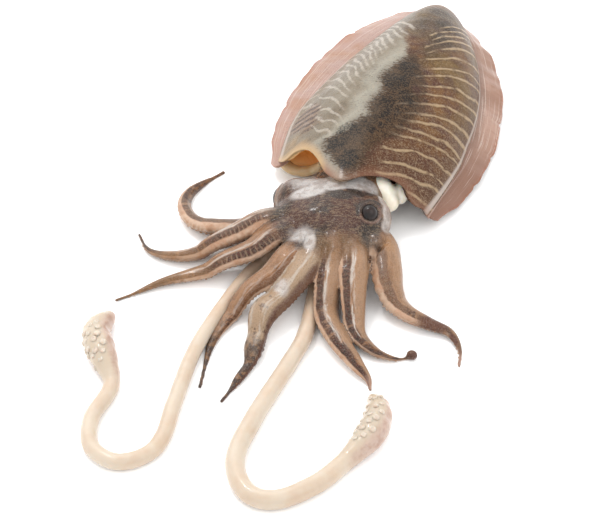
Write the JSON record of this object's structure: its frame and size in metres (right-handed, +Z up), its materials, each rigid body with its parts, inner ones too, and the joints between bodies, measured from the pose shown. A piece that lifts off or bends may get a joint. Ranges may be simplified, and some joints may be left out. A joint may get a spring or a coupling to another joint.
{
  "type": "whole raw cuttlefish",
  "caption": "Whole raw cuttlefish lying on its belly, leaf-shaped mantle with soft fin hems, head with eyes, spread sucker arms and long feeding tentacles ending in clubs",
  "frame": {"origin": "on the surface the animal lies on, under the middle of its outline", "axes": "+Y runs from the tentacles' loops to the tail end, +X is the animal's left, +Z is up out of its back"},
  "size_m": [0.1936, 0.3148, 0.0391],
  "materials": {
    "skin": "moist brown skin, cream below and on the tentacles",
    "eye": "wet and glossy"
  },
  "bodies": {
    "root": {"cuttlefish_body": "skin", "eye_left": "eye", "eye_right": "eye"}
  },
  "joints": []
}
